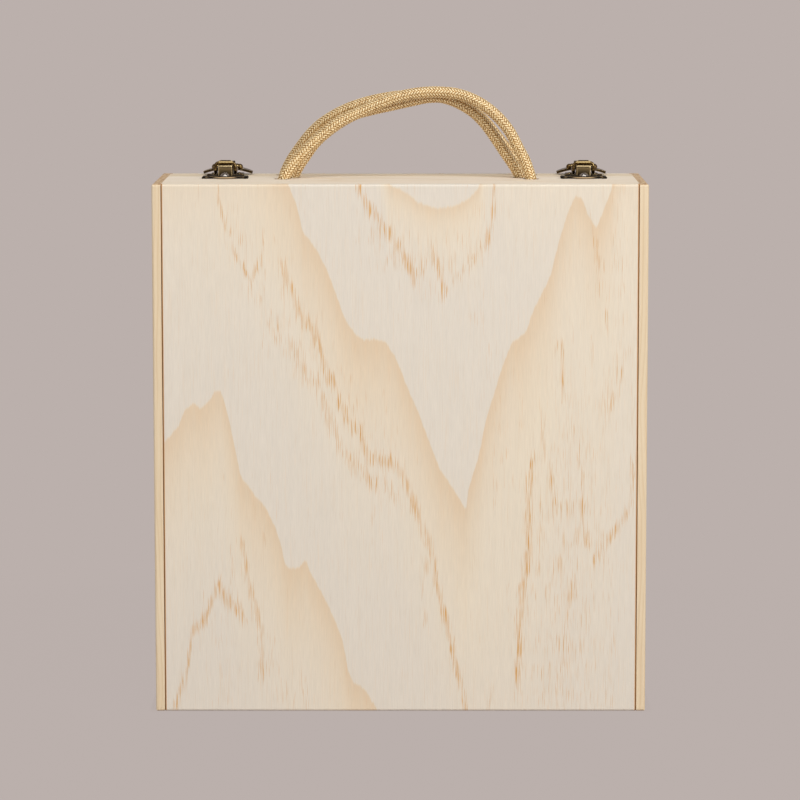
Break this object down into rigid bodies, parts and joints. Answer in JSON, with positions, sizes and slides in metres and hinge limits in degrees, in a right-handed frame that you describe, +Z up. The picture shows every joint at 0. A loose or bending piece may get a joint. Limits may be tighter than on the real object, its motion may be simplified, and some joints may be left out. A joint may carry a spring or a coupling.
{
  "type": "wooden bottle case",
  "caption": "Upright wooden case for wine bottles with a hinged lid at the back, toggle latches on top and braided rope loops as handles.",
  "frame": {"origin": "middle of the foot of the case, on the surface that it stands on", "axes": "+Z up, the front face of the body looks along -Y, the lid and its hinges are at the back, +X to the right as seen from the front"},
  "size_m": [0.327, 0.1, 0.4148],
  "materials": {
    "figured_pine": "sanded bare pale pine with a strong flat-sawn figure, satin",
    "plain_pine": "sanded bare pale pine with straight grain, satin",
    "antique_brass": "dark antique bronze plating, rubbed to brass on its edges",
    "worn_brass": "antique brass, rubbed bright",
    "bright_steel": "bright plated screw heads",
    "gold_cord": "shiny gold braided cord"
  },
  "bodies": {
    "body": {"front_panel": "figured_pine", "body_left_side": "plain_pine", "body_right_side": "plain_pine", "body_top_board": "plain_pine", "body_bottom_board": "plain_pine", "left_divider": "plain_pine", "right_divider": "plain_pine", "left_hinge_body_leaf": "antique_brass", "right_hinge_body_leaf": "antique_brass", "left_hinge_pin": "worn_brass", "right_hinge_pin": "worn_brass", "body_hinge_screws": "worn_brass", "left_hook_plate": "antique_brass", "right_hook_plate": "antique_brass", "hook_dome_screws": "bright_steel", "hook_small_screws": "worn_brass", "front_rope": "gold_cord", "middle_rope": "gold_cord", "front_rope_knots": "gold_cord", "middle_rope_knots": "gold_cord"},
    "lid": {"back_panel": "figured_pine", "lid_left_side": "plain_pine", "lid_right_side": "plain_pine", "lid_top_board": "plain_pine", "lid_bottom_board": "plain_pine", "left_hinge_lid_leaf": "antique_brass", "right_hinge_lid_leaf": "antique_brass", "lid_hinge_screws": "worn_brass", "left_latch_base": "antique_brass", "right_latch_base": "antique_brass", "latch_base_screws": "worn_brass", "left_lever_pin": "worn_brass", "right_lever_pin": "worn_brass", "rear_rope": "gold_cord", "rear_rope_knots": "gold_cord"},
    "left_lever": {"left_lever": "antique_brass", "left_bail_pin": "worn_brass"},
    "right_lever": {"right_lever": "antique_brass", "right_bail_pin": "worn_brass"},
    "left_bail": {"left_bail": "worn_brass"},
    "right_bail": {"right_bail": "worn_brass"}
  },
  "joints": [
    {"name": "lid_hinge", "type": "hinge", "parent": "body", "child": "lid", "pos_m": [0, 0.022, 0.0022], "axis": [-1, 0, 0], "range_deg": [0, 100]},
    {"name": "left_lever_hinge", "type": "hinge", "parent": "lid", "child": "left_lever", "pos_m": [-0.118, 0.026, 0.3602], "axis": [1, 0, 0], "range_deg": [0, 130]},
    {"name": "left_bail_hinge", "type": "hinge", "parent": "left_lever", "child": "left_bail", "pos_m": [-0.118, 0.031, 0.3588], "axis": [1, 0, 0], "range_deg": [-130, 0]},
    {"name": "right_lever_hinge", "type": "hinge", "parent": "lid", "child": "right_lever", "pos_m": [0.123, 0.026, 0.3602], "axis": [1, 0, 0], "range_deg": [0, 130]},
    {"name": "right_bail_hinge", "type": "hinge", "parent": "right_lever", "child": "right_bail", "pos_m": [0.123, 0.031, 0.3588], "axis": [1, 0, 0], "range_deg": [-130, 0]}
  ],
  "couplings": [
    {"joint": "left_bail_hinge", "follows": "left_lever_hinge", "ratio": -1},
    {"joint": "right_bail_hinge", "follows": "right_lever_hinge", "ratio": -1}
  ]
}
